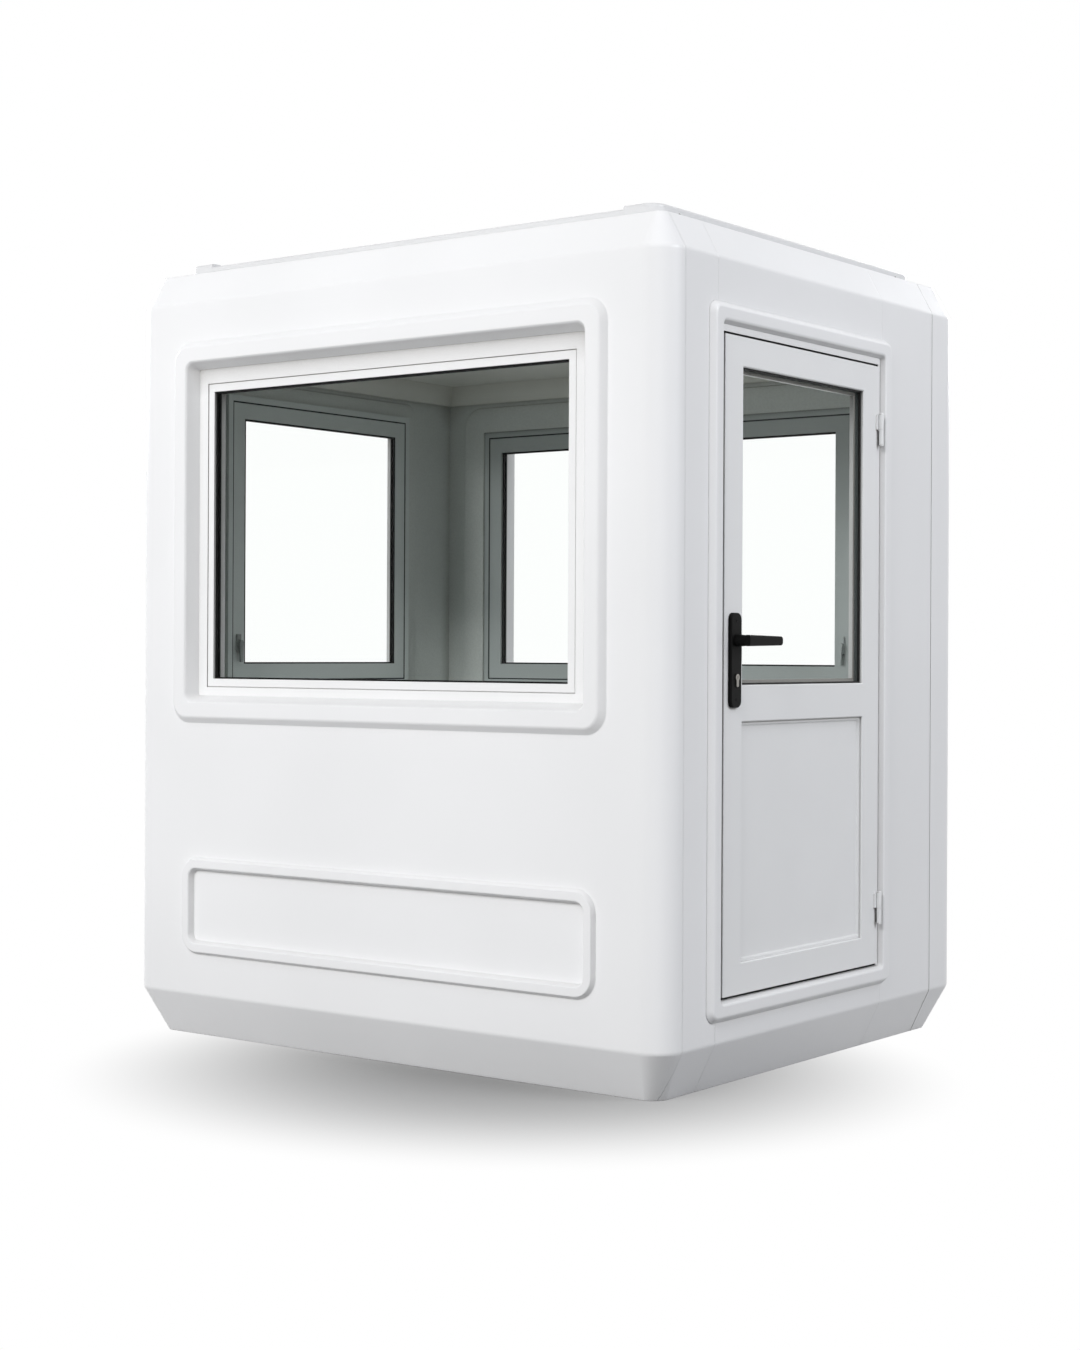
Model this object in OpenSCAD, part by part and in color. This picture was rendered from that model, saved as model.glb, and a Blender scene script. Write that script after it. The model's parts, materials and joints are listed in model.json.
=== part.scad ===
// Guard booth: a moulded white cabin with one hinged door, three glazed windows and a low roof rim.
// Millimetres, +Z up. The front wall faces -Y and the door wall faces +X.
// The origin is the centre of the flat underside.

/* [Shell] */
// Width across the front
body_w = 2020; // [1900:1:2400]
// Depth along the door wall
body_d = 1696; // [1650:1:2200]
// Height from the ground to the roof deck
body_h = 2378; // [2340:1:2600]
// Radius of the upright corners, also the depth of the wall flanges
corner_r = 84; // [75:1:100]
// Thickness of the front, left and door walls
wall_t = 55; // [45:1:65]
// Thickness of the back wall, which holds the wiring duct
back_t = 190; // [170:1:210]
// Height of the sloped skirt
skirt_h = 137; // [110:1:150]
// Inward slope of the skirt
skirt_in = 66; // [50:1:72]
// Radius of the upright corners at the foot of the skirt
skirt_r = 54; // [30:1:60]
// Height of the sloped eave
eave_h = 101; // [85:1:120]
// Inward slope of the eave
eave_in = 55; // [40:1:60]
// Rounding where a slope meets the wall
edge_r = 26; // [10:1:40]
// Width of the groove at the back moulding's seam
seam_w = 3; // [2:0.5:5]
// Depth of the groove at the back moulding's seam
seam_d = 8; // [4:1:12]

/* [Floor and roof] */
// Height of the floor slab
floor_z = 190; // [170:1:205]
// Thickness of the floor covering
cover_t = 4; // [3:0.5:8]
// Thickness of the roof deck and of the wall's top flange
deck_t = 30; // [20:1:40]
// Gap between the lip over a window inside and the ceiling's cove
ceiling_gap = 4; // [2:1:12]
// Height and width of the sloped cove under the ceiling
cove = 62; // [40:1:70]
// Thickness of the cove's lower edge past the rounded corners
cove_edge = 4; // [3:1:8]
// Thickness of the ceiling panel over its flat face
ceiling_t = 24; // [15:1:30]
// Set-back of the roof rim from the top of the eave
rim_back = 58; // [40:1:80]
// Width of the roof rim
rim_w = 44; // [36:1:46]
// Height of the side rims
rim_h = 40; // [30:1:60]
// How much lower the front and back rims are
rim_drop = 9; // [4:1:15]
// Length of the side rims' returns round the corners
rim_return = 110; // [90:1:140]
// Outer corner radius of the roof rim
rim_r = 50; // [46:1:60]
// Edge rounding of the roof rim
rim_edge = 9; // [4:1:12]

/* [Window moulding] */
// Height of the front opening's lower edge above the ground
win_z = 1061; // [1030:1:1080]
// Distance from the roof deck down to the front opening's upper edge
win_drop = 307; // [295:1:370]
// Height of the left and back openings' lower edges above the ground
side_z = 1081; // [1050:1:1110]
// Distance from the roof deck down to the left opening's upper edge
left_drop = 338; // [335:1:400]
// Distance from the roof deck down to the back opening's upper edge
back_drop = 379; // [376:1:430]
// Width of the front opening
wide_w = 1480; // [1300:1:1500]
// Width of the back opening
back_w = 1531; // [1350:1:1540]
// Place of the back opening along the wall, measured from the middle towards the door
back_x = -25; // [-30:1:30]
// Place of the front opening along the wall, measured from the middle towards the door
front_x = -8; // [-15:1:15]
// Width of the left opening
left_w = 912; // [780:1:930]
// Place of the left opening along the wall, measured from the middle towards the back
left_y = -52; // [-70:1:-20]
// Band width of a raised surround
band = 51; // [40:1:60]
// Rise of a raised surround from the wall
rise = 18; // [12:1:26]
// Width of a surround's sloped outer side
bevel = 16; // [8:1:20]
// Corner radius of a surround at its foot
surround_r = 66; // [40:1:85]
// Corner radius at the bottom of a surround's reveal
reveal_r = 6; // [3:1:12]
// Draft of the reveal inside a surround
draft = 18; // [10:1:24]
// Depth from the wall face to the front and left window frames
reveal_d = 25; // [18:1:32]
// Depth from the wall face to the back window frame
back_reveal_d = 140; // [120:1:150]
// Width of the raised lip round the front window inside the room
lip_w = 28; // [20:1:40]
// Width of the raised lip round the left window inside the room
left_lip_w = 50; // [40:1:56]
// Width of the raised lip round the back window inside the room
back_lip_w = 90; // [60:1:96]
// Rise of the raised lip inside the room
lip = 6; // [4:1:10]
// Corner radius of the front window's raised lip
lip_r = 14; // [8:1:20]
// Corner radius of the left window's raised lip
left_lip_r = 45; // [20:1:50]
// Corner radius of the back window's raised lip
back_lip_r = 75; // [40:1:85]
// Small edge flat on the crest of a surround
crest = 5; // [2:1:7]
// Height of the low panel's inner edge above the ground
panel_z = 303; // [280:1:330]
// Inner height of the low panel
panel_h = 217; // [180:1:240]
// Inner width of the low panel
panel_w = 1490; // [1350:1:1510]
// Band width of the low panel's frame
panel_band = 26; // [16:1:34]
// Rise of the low panel's frame
panel_rise = 13; // [8:1:18]
// Inner corner radius of the low panel's frame
panel_r = 22; // [12:1:30]
// Depth of the inset inside the low panel's frame
panel_inset = 7; // [3:1:12]
// Width of the low panel frame's sloped outer side
panel_bevel = 8; // [5:1:14]

/* [Windows] */
// Face width of the fixed front window frame's sides
frame_w = 36; // [28:1:44]
// Face height of the fixed front window frame's head
frame_top = 46; // [30:1:54]
// Face height of the fixed front window frame's sill
frame_low = 26; // [20:1:40]
// Depth of a window frame
frame_dp = 50; // [44:1:60]
// Face width of the front window bead
bead_w = 26; // [20:1:32]
// Face width of the side windows' frames
slim_w = 20; // [16:1:28]
// Face width of the side windows' sashes
sash_w = 56; // [45:1:64]
// Set-back of the front window bead from its frame's face
bead_back = 1; // [0.5:0.5:4]
// Width of the groove between the front window bead and its frame
bead_groove = 3; // [2:0.5:5]
// Set-back of the side windows' sashes from their frames' faces
sash_back = 12; // [8:1:16]
// Thickness of the sashes
sash_t = 36; // [30:1:40]
// Thickness of the window glass
glass_t = 6; // [5:1:8]
// Width of the dark glazing seal
seal_w = 5; // [4:0.5:8]
// Set-back of the front window's seal from its bead's face
front_seal_back = 8; // [5:1:24]
// Thickness of the glazing seal
seal_t = 18; // [14:1:22]
// Depth of the glass edge in the seal
glass_bite = 3; // [2:0.5:3.5]
// Height of a window latch's plate
latch_h = 56; // [50:1:80]
// Width of a window latch's plate
latch_w = 18; // [16:1:26]
// Thickness of a window latch's plate
latch_t = 6; // [5:1:10]
// Length of a window latch's arm below its pivot
latch_arm = 64; // [50:1:80]
// Distance from the plate to the outside of the latch's arm
latch_out = 18; // [14:1:24]
// Height of a latch's middle above the window opening's lower edge
latch_up = 145; // [120:1:400]

/* [Doorway] */
// Clear width of the doorway
door_w = 887; // [800:1:910]
// Distance from the roof deck down to the doorway's upper edge
door_drop = 300; // [285:1:400]
// Height of the doorway's sill above the ground
door_z = 253; // [248:1:270]
// Place of the doorway along the wall, measured from the middle towards the back
door_y = -138; // [-145:1:-100]
// Rise of the door surround from the wall
door_rise = 18; // [15:1:21]
// Band width of the door surround
door_band = 38; // [30:1:44]
// Width of the door surround's sloped outer side
door_bevel = 13; // [6:1:16]
// Draft of the door surround's reveal
door_draft = 8; // [4:1:12]
// Corner radius of the door surround at its foot
door_r = 36; // [28:1:44]
// Thickness of the door frame in the wall
lining = 22; // [20:1:24]
// Face width of the door frame that shows beside the leaf
jamb_face = 9; // [8:1:14]
// Face height of the door frame that shows over the leaf
jamb_head = 19; // [10:1:20]
// Height of the door stop into the doorway
stop_h = 20; // [16:1:26]
// Gap behind the closed leaf to the door stop
stop_gap = 6; // [5:0.5:8]

/* [Door] */
// Gap round the door leaf
leaf_gap = 7; // [6.5:0.5:9]
// Thickness of the door leaf
leaf_t = 40; // [36:1:44]
// How far the leaf's outer face stands proud of the wall face
leaf_out = 6; // [4:1:8]
// Width of the leaf's stiles
stile = 95; // [80:1:110]
// Height of the leaf's top rail
top_rail = 83; // [75:1:110]
// Height of the leaf's bottom rail
low_rail = 87; // [75:1:110]
// Height of the leaf's middle rail
mid_rail = 102; // [80:1:120]
// Height of the lower panel
low_panel_h = 663; // [600:1:720]
// Thickness of the lower panel
low_panel_t = 18; // [14:1:22]
// Set-back of the lower panel from the leaf's face
low_panel_back = 13; // [10:1:16]
// Width of the bead round the lower panel
panel_bead = 12; // [8:1:18]
// Rise of the bead from the lower panel
panel_bead_out = 5; // [3:0.5:7]
// Edge bevel of the leaf and of its openings
leaf_bevel = 3; // [1:0.5:4]
// Set-back of the door's glazing seal from the leaf's face
door_seal_back = 9; // [5:1:12]
// Width of the inside glazing bead
glaze_bead = 14; // [10:1:18]

/* [Hinges] */
// Height of a hinge
hinge_h = 90; // [80:1:110]
// Radius of a hinge barrel
hinge_r = 7; // [6:0.5:8]
// Radius of a hinge pin
pin_r = 4; // [3:0.5:4.5]
// Radial clearance of a hinge pin
pin_gap = 0.06; // [0.03:0.01:0.09]
// Axial gap between a hinge's halves
knuckle_gap = 1; // [0.5:0.1:2]
// Distance of the hinge axis in front of the leaf's face
hinge_out = 12; // [11:0.5:14]
// Distance of the hinge axis from the leaf's edge
hinge_in = 5; // [3:0.5:6]
// Height of the lower hinge's middle above the leaf's lower edge
hinge_low = 170; // [120:1:260]
// Distance of the upper hinge's middle below the leaf's upper edge
hinge_high = 193; // [120:1:260]
// Thickness of the hinge straps
strap_t = 5; // [4:0.5:6]
// Width of the strap on the door leaf
strap_w = 14; // [10:1:24]
// Width of the hinge's foot on the door frame
strap_foot = 6; // [4:0.5:7]
// Gap between a hinge pin's end and the bottom of its hole
pin_end = 2; // [1:0.5:4]

/* [Handle] */
// Height of the lever's axis above the ground
lever_z = 1234; // [1150:1:1300]
// Height of a handle plate
plate_h = 260; // [220:1:280]
// Width of a handle plate
plate_w = 54; // [44:1:60]
// Thickness of a handle plate
plate_t = 11; // [8:1:14]
// Corner radius of a handle plate
plate_r = 18; // [10:1:22]
// Edge bevel of a handle plate
plate_bevel = 3; // [1:0.5:4]
// Height of the lever's axis above the plate's middle
plate_up = 54; // [40:1:70]
// Radius of the lever's neck
neck_r = 9; // [8:0.5:10]
// Radial clearance of the lever's neck
neck_gap = 0.3; // [0.2:0.05:0.5]
// Distance from the plate to the middle of the lever's grip
grip_out = 44; // [36:1:55]
// Length of the lever from its axis
grip_l = 158; // [120:1:165]
// Height of the grip next to its hub
grip_h = 31; // [24:1:36]
// Height of the grip's free end
grip_end_h = 25; // [20:1:30]
// Thickness of the grip
grip_t = 17; // [12:1:22]
// Rounding of the grip's edges
grip_edge = 6; // [3:0.5:7]
// Radius of the grip's free corners
grip_end_r = 10; // [6:0.5:11]
// Radius of the lever's hub at the plate
hub_r = 17; // [14:0.5:19]
// Radius of the lever's hub at the grip
hub_end_r = 14; // [12:0.5:17]
// Gap between the hub and the plate
hub_gap = 0.5; // [0.3:0.1:1]
// Radius of the lock's round part
lock_r = 9.5; // [8:0.5:10.5]
// Half width of the lock's tail
lock_tail_r = 5.5; // [4:0.5:6]
// Distance from the lock's axis down to the centre of its tail's end
lock_tail = 21; // [18:1:24]
// Clearance round the lock
lock_gap = 0.3; // [0.2:0.05:0.5]
// Distance of the lock's axis below the lever's axis
lock_down = 101; // [85:1:104]
// How far the lock cylinder stands out of a plate
lock_out = 4; // [2:0.5:6]
// Width of the key slot
key_w = 3; // [2:0.5:4]
// Height of the key slot
key_h = 9; // [7:0.5:11]
// Depth of the key slot
key_d = 3; // [2:0.5:3.5]

/* [Hidden] */
$fn = 48;
eps = 1;
// Straight pieces that round a small edge, a grip and a skirt corner
edge_steps = 5;
grip_steps = 8;
skirt_steps = 16;
// Keeps the skirt corners' cutter off the flat slopes
skirt_slack = 0.2;
half_w = body_w / 2;
half_d = body_d / 2;
eave_z = body_h - eave_h;
back_in = half_d - back_t;
room_x = half_w - wall_t;
room_y = -half_d + wall_t;
// Heights that follow the roof deck
win_h = body_h - win_drop - win_z;
left_h = body_h - left_drop - side_z;
back_h = body_h - back_drop - side_z;
door_h = body_h - door_drop - door_z;
cove_z = win_z + win_h + lip_w + ceiling_gap;
ceiling_z = cove_z + cove;
// The front inner corners are round, so flat sheets inside are cut back there
nook = corner_r - wall_t;
cove_foot = nook / 2 + cove_edge;
// Door leaf edges, along the wall and in height
leaf_s0 = door_y - door_w / 2 + leaf_gap;
leaf_s1 = door_y + door_w / 2 - leaf_gap;
leaf_z0 = door_z + leaf_gap;
leaf_z1 = door_z + door_h - leaf_gap;
leaf_e0 = leaf_out - leaf_t;
leaf_w = leaf_s1 - leaf_s0;
leaf_h = leaf_z1 - leaf_z0;
stop_e = leaf_e0 - stop_gap;
// Glazed opening of the leaf
pane_w = leaf_w - 2 * stile;
pane_z0 = leaf_z0 + low_rail + low_panel_h + mid_rail;
pane_z1 = leaf_z1 - top_rail;
pane_z = (pane_z0 + pane_z1) / 2;
pane_h = pane_z1 - pane_z0;
low_z = leaf_z0 + low_rail + low_panel_h / 2;
door_seal_e = leaf_out - door_seal_back;
bead_e = door_seal_e - seal_t;
hinge_s = leaf_s1 - hinge_in;
hinge_e = leaf_out + hinge_out;
hinge_zs = [leaf_z0 + hinge_low, leaf_z1 - hinge_high];
lever_s = leaf_s0 + stile / 2;
plate_z = lever_z - plate_up;
lock_z = lever_z - lock_down;
plate_e1 = leaf_out + plate_t;
plate_e0 = leaf_e0 - plate_t;
win_c = win_z + win_h / 2;
left_c = side_z + left_h / 2;
back_c = side_z + back_h / 2;
panel_c = panel_z + panel_h / 2;
white = [0.93, 0.94, 0.94];
grey = [0.55, 0.56, 0.57];
dark = [0.06, 0.06, 0.07];
glazing = [0.45, 0.52, 0.5, 0.4];
steel = [0.75, 0.76, 0.78];

// Points of a small arc that rounds corner b of the path a, b, c with radius r
function round_corner(a, b, c, r, n = edge_steps) = let(
    u = (a - b) / norm(a - b),
    v = (c - b) / norm(c - b),
    half = acos(u * v) / 2,
    m = b + (u + v) / norm(u + v) * r / sin(half),
    p = b + u * r / tan(half) - m,
    q = b + v * r / tan(half) - m,
    turn = 180 - 2 * half
) [for (i = [0:n]) m + (p * sin(turn * (1 - i / n)) + q * sin(turn * i / n)) / sin(turn)];

// Outer line of a wall from the ground to the deck, as distance inward and height
function outer_line(inset) = let(
    g = [skirt_in + inset, 0],
    k = [inset, skirt_h],
    e = [inset, eave_z],
    t = [eave_in + inset, body_h]
) concat([g], round_corner(g, k, e, edge_r), round_corner(k, e, t, edge_r), [t]);

// Inner line of a thin wall, with a floor flange and a roof flange
function inner_line() = [[corner_r, body_h], [corner_r, body_h - deck_t], [wall_t, body_h - deck_t],
    [wall_t, floor_z], [corner_r, floor_z], [corner_r, 0]];

function thin_wall() = concat(outer_line(0), inner_line());
function solid_wall(depth, inset = 0) = concat(outer_line(inset), [[depth, body_h], [depth, 0]]);
function head_wall(z) = concat(
    [[0, z]],
    round_corner([0, skirt_h], [0, eave_z], [eave_in, body_h], edge_r),
    [[eave_in, body_h], [corner_r, body_h], [corner_r, body_h - deck_t]],
    [[wall_t, body_h - deck_t], [wall_t, z]]
);
function sill_wall(z) = concat(
    [[skirt_in, 0]],
    round_corner([skirt_in, 0], [0, skirt_h], [0, eave_z], edge_r),
    [[0, z], [wall_t, z], [wall_t, floor_z], [corner_r, floor_z], [corner_r, 0]]
);
// The same outlines as a radius about an upright corner's centre
function turned(pts) = [for (p = pts) [corner_r - p[0], p[1]]];

// Wall section pts drawn out from s0 to s1 along the front, half_depth in front of the middle
module run(pts, half_depth, s0, s1) {
    translate([s0, -half_depth, 0]) rotate([90, 0, 90]) linear_extrude(s1 - s0) polygon(pts);
}

// Upright corner of the front, turned from section pts; right is 1 or -1
module front_corner(pts, half_depth, half_width, right) {
    turn = right > 0 ? -90 : 180;
    translate([right * (half_width - corner_r), -half_depth + corner_r, 0])
        rotate([0, 0, turn]) rotate_extrude(angle = 90) polygon(turned(pts));
}

// Plan of one upright corner, drawn from the outer corner inward: set in by i, rounded by r, as far as size
function corner_plan(i, r, size) = concat(
    [[size, i]],
    [for (k = [0:skirt_steps]) let(a = 90 * k / skirt_steps) [i + r - r * sin(a), i + r - r * cos(a)]],
    [[i, size], [size, size]]
);

// Cutter that rounds the foot of the skirt at one corner; the sides x and y are 1 or -1
module skirt_corner(x, y) {
    size = skirt_in + skirt_r + eps;
    translate([x * half_w, y * half_d, 0]) scale([-x, -y, 1]) difference() {
        translate([-eps, -eps, -eps]) cube([size, size, skirt_h + eps]);
        hull() {
            translate([0, 0, -2 * eps]) linear_extrude(2 * eps)
                polygon(corner_plan(skirt_in - skirt_slack, skirt_r, 2 * size));
            translate([0, 0, skirt_h]) linear_extrude(eps)
                polygon(corner_plan(-skirt_slack, corner_r, 2 * size));
        }
    }
}

// Local axes of each wall: X along the wall, Y up, Z out of the wall's face
module on_front() { translate([0, -half_d, 0]) rotate([90, 0, 0]) children(); }
module on_door() { rotate([0, 0, 90]) translate([0, -half_w, 0]) rotate([90, 0, 0]) children(); }
module on_left() { rotate([0, 0, -90]) translate([0, -half_w, 0]) rotate([90, 0, 0]) children(); }
module on_back() { rotate([0, 0, 180]) translate([0, -half_d, 0]) rotate([90, 0, 0]) children(); }

// Box w by h about a point of a wall, from depth e0 to e1
module block(w, h, e0, e1) { translate([-w / 2, -h / 2, e0]) cube([w, h, e1 - e0]); }

// Square-cornered ring with face width b
module ring(w, h, b, e0, e1) {
    difference() {
        block(w, h, e0, e1);
        block(w - 2 * b, h - 2 * b, e0 - eps, e1 + eps);
    }
}

// Outline through the middle of a moulded solid; prof holds distance outward and height
function both_sides(prof, half) = concat([for (p = prof) [half + p[0], p[1]]],
    [for (i = [len(prof) - 1:-1:0]) [-half - prof[i][0], prof[i][1]]]);

// Moulded solid on a w by h outline with corner radius r, its sides shaped by prof
module moulded(w, h, r, prof) {
    last = len(prof) - 1;
    translate([r - w / 2, 0, 0]) rotate([90, 0, 90]) linear_extrude(w - 2 * r)
        polygon(both_sides(prof, h / 2));
    translate([0, h / 2 - r, 0]) rotate([90, 0, 0]) linear_extrude(h - 2 * r)
        polygon(both_sides(prof, w / 2));
    for (x = [-1, 1], y = [-1, 1]) translate([x * (w / 2 - r), y * (h / 2 - r), 0]) rotate_extrude()
        polygon(concat([[0, prof[0][1]]], [for (p = prof) [r + p[0], p[1]]], [[0, prof[last][1]]]));
}

// Solid part of a window's surround: the raised plate outside and the lip inside the room
module surround(w, h, depth, lip_width, lip_corner) {
    foot = 2 * (draft + band + bevel);
    moulded(w + foot, h + foot, surround_r, [[0, -reveal_d / 2], [0, 0], [-bevel, rise - crest / 2],
        [-bevel - crest, rise]]);
    moulded(w + 2 * lip_width, h + 2 * lip_width, lip_corner, [[-lip / 2, -depth - lip],
        [0, -depth - lip / 2], [0, -depth + eps]]);
}

// Window opening: square where the frame sits, then a flared reveal with round corners
module window_hole(w, h, depth, reveal) {
    block(w, h, -depth - lip - eps, -reveal);
    moulded(w, h, reveal_r, [[0, -reveal - eps], [0, -reveal], [draft, rise - crest],
        [draft + crest, rise], [draft + crest, rise + eps]]);
}

// Glass and its dark seal in an opening w by h, front of the seal at depth e
module pane(w, h, e) {
    m = e - seal_t / 2;
    block(w - 2 * (seal_w - glass_bite), h - 2 * (seal_w - glass_bite), m - glass_t / 2, m + glass_t / 2);
}
module seal(w, h, e) {
    difference() {
        ring(w, h, seal_w, e - seal_t, e);
        pane(w, h, e);
    }
}

// Latch on face e: a plate, a pivot and an arm that hangs inside the room
module latch(e) {
    pivot = latch_w / 2;
    tip = latch_w / 4;
    block(latch_w, latch_h, e - latch_t, e);
    translate([0, 0, e - latch_out]) cylinder(r = pivot, h = latch_out - latch_t);
    translate([0, 0, e - latch_out]) linear_extrude(latch_t)
        polygon([[-pivot, 0], [-tip, -latch_arm], [tip, -latch_arm], [pivot, 0]]);
}

module cyl_e(r, e0, e1) { translate([0, 0, e0]) cylinder(r = r, h = e1 - e0); }

// Plan of the room, with the front corners cut back
function room_plan() = [[-room_x + nook, room_y], [room_x - nook, room_y], [room_x, room_y + nook],
    [room_x, back_in], [-room_x, back_in], [-room_x, room_y + nook]];

module base_slab() {
    color(grey) translate([-half_w + corner_r, -half_d + corner_r, 0])
        cube([body_w - 2 * corner_r, body_d - corner_r - back_t, floor_z]);
}

module floor_covering() {
    color(grey) translate([0, 0, floor_z]) linear_extrude(cover_t) polygon(room_plan());
}

// Frame of the low panel and the inset inside it
module panel_frame() {
    foot = 2 * (panel_inset + panel_band + panel_bevel);
    moulded(panel_w + foot, panel_h + foot, panel_r + foot / 2, [[0, -panel_inset], [0, 0],
        [-panel_bevel, panel_rise]]);
}
module panel_hole() {
    moulded(panel_w, panel_h, panel_r, [[0, -panel_inset], [panel_inset, panel_rise - crest / 2],
        [panel_inset + crest / 2, panel_rise], [panel_inset + crest / 2, panel_rise + eps]]);
}

module front_wall() {
    color(white) difference() {
        union() {
            run(thin_wall(), half_d, -half_w + corner_r, half_w - corner_r);
            front_corner(thin_wall(), half_d, half_w, 1);
            front_corner(thin_wall(), half_d, half_w, -1);
            on_front() translate([front_x, win_c, 0]) surround(wide_w, win_h, wall_t, lip_w, lip_r);
            on_front() translate([0, panel_c, 0]) panel_frame();
        }
        on_front() translate([front_x, win_c, 0]) window_hole(wide_w, win_h, wall_t, reveal_d);
        on_front() translate([0, panel_c, 0]) panel_hole();
        skirt_corner(-1, -1);
        skirt_corner(1, -1);
    }
}

module left_wall() {
    color(white) difference() {
        union() {
            rotate([0, 0, -90]) run(thin_wall(), half_w, -back_in, half_d - corner_r);
            on_left() translate([-left_y, left_c, 0])
                surround(left_w, left_h, wall_t, left_lip_w, left_lip_r);
        }
        on_left() translate([-left_y, left_c, 0]) window_hole(left_w, left_h, wall_t, reveal_d);
        skirt_corner(-1, -1);
    }
}

module back_wall() {
    color(white) difference() {
        union() {
            rotate([0, 0, 180]) {
                run(solid_wall(back_t), half_d, -half_w + corner_r, half_w - corner_r);
                front_corner(solid_wall(corner_r), half_d, half_w, 1);
                front_corner(solid_wall(corner_r), half_d, half_w, -1);
                rotate([0, 0, 90]) run(solid_wall(corner_r), half_w, -half_d + corner_r, -back_in - seam_w);
                rotate([0, 0, -90]) run(solid_wall(corner_r), half_w, back_in + seam_w, half_d - corner_r);
                rotate([0, 0, 90]) run(solid_wall(corner_r, seam_d), half_w, -half_d + corner_r, -back_in);
                rotate([0, 0, -90]) run(solid_wall(corner_r, seam_d), half_w, back_in, half_d - corner_r);
            }
            on_back() translate([-back_x, back_c, 0])
                surround(back_w, back_h, back_t, back_lip_w, back_lip_r);
        }
        on_back() translate([-back_x, back_c, 0]) window_hole(back_w, back_h, back_t, back_reveal_d);
        skirt_corner(-1, 1);
        skirt_corner(1, 1);
    }
}

module door_wall_front() {
    color(white) difference() {
        rotate([0, 0, 90]) run(thin_wall(), half_w, -half_d + corner_r, door_y - door_w / 2 - lining);
        skirt_corner(1, -1);
    }
}

module door_wall_back() {
    color(white) rotate([0, 0, 90])
        run(thin_wall(), half_w, door_y + door_w / 2 + lining, back_in);
}

module door_wall_head() {
    color(white) rotate([0, 0, 90]) run(head_wall(door_z + door_h + lining), half_w,
        door_y - door_w / 2 - lining, door_y + door_w / 2 + lining);
}

module door_wall_sill() {
    color(white) rotate([0, 0, 90]) run(sill_wall(door_z - lining), half_w,
        door_y - door_w / 2 - lining, door_y + door_w / 2 + lining);
}

module roof_deck() {
    color(white) translate([-half_w + corner_r, -half_d + corner_r, body_h - deck_t])
        cube([body_w - 2 * corner_r, body_d - corner_r - back_t, deck_t]);
}

// The coved underside is a shallow tray cut into the panel by two crossed prisms
module ceiling() {
    x = room_x - cove_foot;
    y0 = room_y + cove_foot;
    y1 = back_in - cove_foot;
    color(white) difference() {
        translate([0, 0, cove_z]) linear_extrude(cove + ceiling_t) polygon(room_plan());
        intersection() {
            translate([0, back_in, cove_z - eps]) rotate([90, 0, 0]) linear_extrude(back_in - room_y)
                polygon([[-x - eps, 0], [x + eps, 0], [x - cove, cove + eps], [cove - x, cove + eps]]);
            translate([-room_x, 0, cove_z - eps]) rotate([90, 0, 90]) linear_extrude(2 * room_x)
                polygon([[y0 - eps, 0], [y1 + eps, 0], [y1 - cove, cove + eps], [y0 + cove, cove + eps]]);
        }
    }
}

// Cross-section of a roof rim, from its outer face inward
function rim_sec(h) = concat([[0, 0]], round_corner([0, 0], [0, h], [rim_w, h], rim_edge),
    round_corner([0, h], [rim_w, h], [rim_w, 0], rim_edge), [[rim_w, 0]]);
rim_x = half_w - eave_in - rim_back;
rim_y = half_d - eave_in - rim_back;

// Straight rim along the front between the side rims
module rim_bar(h) {
    translate([-rim_x + rim_return, -rim_y, body_h]) rotate([90, 0, 90])
        linear_extrude(2 * (rim_x - rim_return)) polygon(rim_sec(h));
}

// Side rim on the door side, with a return round each corner
module rim_side(h) {
    rotate([0, 0, 90]) translate([-rim_y + rim_r, -rim_x, body_h]) rotate([90, 0, 90])
        linear_extrude(2 * (rim_y - rim_r)) polygon(rim_sec(h));
    for (k = [-1, 1]) {
        translate([rim_x - rim_r, k * (rim_y - rim_r), body_h]) rotate([0, 0, k > 0 ? 0 : -90])
            rotate_extrude(angle = 90) polygon([for (p = rim_sec(h)) [rim_r - p[0], p[1]]]);
        mirror([0, k > 0 ? 1 : 0, 0]) translate([rim_x - rim_return, -rim_y, body_h]) rotate([90, 0, 90])
            linear_extrude(rim_return - rim_r) polygon(rim_sec(h));
    }
}

module roof_rim_front() { color(white) rim_bar(rim_h - rim_drop); }
module roof_rim_back() { color(white) rotate([0, 0, 180]) rim_bar(rim_h - rim_drop); }
module roof_rim_right() { color(white) rim_side(rim_h); }
module roof_rim_left() { color(white) mirror([1, 0, 0]) rim_side(rim_h); }

// The front frame's head is taller than its sill, so its glass sits lower
front_c = win_c + (frame_low - frame_top) / 2;
bead_out_w = wide_w - 2 * frame_w;
bead_out_h = win_h - frame_low - frame_top;
clear_slim = slim_w + sash_w;
front_seal_e = -reveal_d - bead_back - front_seal_back;
left_seal_e = -reveal_d - sash_back - sash_t / 2;
back_seal_e = -back_reveal_d - sash_back - sash_t / 2 + seal_t / 2;

module front_window_frame() {
    color(white) on_front() difference() {
        translate([front_x, win_c, 0]) block(wide_w, win_h, -reveal_d - frame_dp, -reveal_d);
        translate([front_x, front_c, 0])
            block(bead_out_w, bead_out_h, -reveal_d - frame_dp - eps, -reveal_d + eps);
    }
}

module front_window_bead() {
    color(white) on_front() translate([front_x, front_c, 0])
        difference() {
            moulded(bead_out_w, bead_out_h, bead_groove, [[0, -reveal_d - frame_dp],
                [0, -reveal_d - bead_back - bead_groove], [-bead_groove, -reveal_d - bead_back]]);
            block(bead_out_w - 2 * bead_w, bead_out_h - 2 * bead_w, -reveal_d - frame_dp - eps, 0);
        }
}

module front_window_gasket() {
    color(dark) on_front() translate([front_x, front_c, 0])
        seal(bead_out_w - 2 * bead_w, bead_out_h - 2 * bead_w, front_seal_e);
}

module front_window_glass() {
    color(glazing) on_front() translate([front_x, front_c, 0])
        pane(bead_out_w - 2 * bead_w, bead_out_h - 2 * bead_w, front_seal_e);
}

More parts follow.
